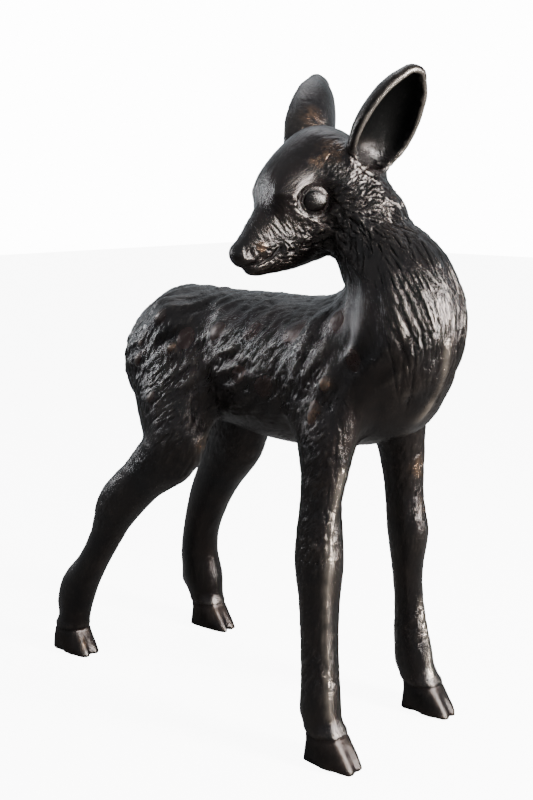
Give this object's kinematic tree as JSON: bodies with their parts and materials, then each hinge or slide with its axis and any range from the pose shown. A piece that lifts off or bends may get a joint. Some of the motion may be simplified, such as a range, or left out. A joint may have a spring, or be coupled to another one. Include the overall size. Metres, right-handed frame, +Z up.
{
  "type": "fawn sculpture",
  "caption": "Life-size standing fawn cast in dark patinated metal, head turned back over its right side, resting on flat hoof soles.",
  "frame": {"origin": "on the ground, under the middle of the figure's bounding box", "axes": "+X the way the body faces, +Y the fawn's left side, +Z up"},
  "size_m": [0.544, 0.2358, 0.72],
  "materials": {
    "bronze": "dark brown patinated bronze, waxed to a gloss, lighter where it is rubbed"
  },
  "bodies": {
    "root": {"fawn": "bronze"}
  },
  "joints": []
}
